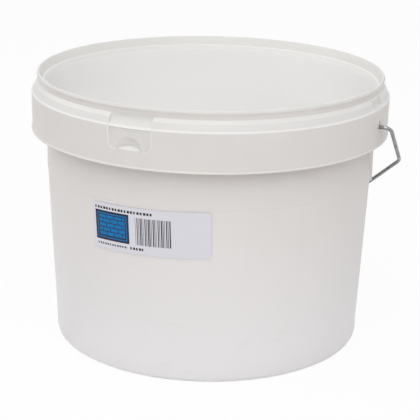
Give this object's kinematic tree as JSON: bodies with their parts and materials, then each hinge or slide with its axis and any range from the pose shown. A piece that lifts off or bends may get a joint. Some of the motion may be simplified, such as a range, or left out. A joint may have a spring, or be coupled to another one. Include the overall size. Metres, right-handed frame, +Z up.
{
  "type": "mixing bucket",
  "caption": "Round tapered mixing bucket with a thick rim, stepped ledge, deep collar, tear tab, side label and a swinging wire bail with a turning grip.",
  "frame": {"origin": "middle of the plane of the foot ring that the tub stands on", "axes": "+Z up along the tub's axis, the tear tab faces -Y, the bail turns about an axis along X and hangs over +Y"},
  "size_m": [0.3534, 0.3306, 0.2512],
  "materials": {
    "white_polypropylene": "satin, injection moulded",
    "tab_polypropylene": "satin, injection moulded",
    "galvanised_wire": "drawn and zinc coated",
    "grip_plastic": "satin, injection moulded",
    "label_film": "printed film"
  },
  "bodies": {
    "tub": {"tub": "white_polypropylene", "label": "label_film"},
    "tear_tab": {"tear_tab": "tab_polypropylene"},
    "bail": {"bail_wire": "galvanised_wire"},
    "grip": {"grip": "grip_plastic"}
  },
  "joints": [
    {"name": "bail_swing", "type": "hinge", "parent": "tub", "child": "bail", "pos_m": [0, 0, 0.2168], "axis": [1, 0, 0], "range_deg": [0, 265]},
    {"name": "grip_spin", "type": "hinge", "parent": "bail", "child": "grip", "pos_m": [0, 0.15601, 0.07384], "axis": [1, 0, 0], "continuous": true},
    {"name": "tab_fold", "type": "hinge", "parent": "tub", "child": "tear_tab", "pos_m": [0, -0.159, 0.243], "axis": [-1, 0, 0], "range_deg": [0, 90]}
  ]
}
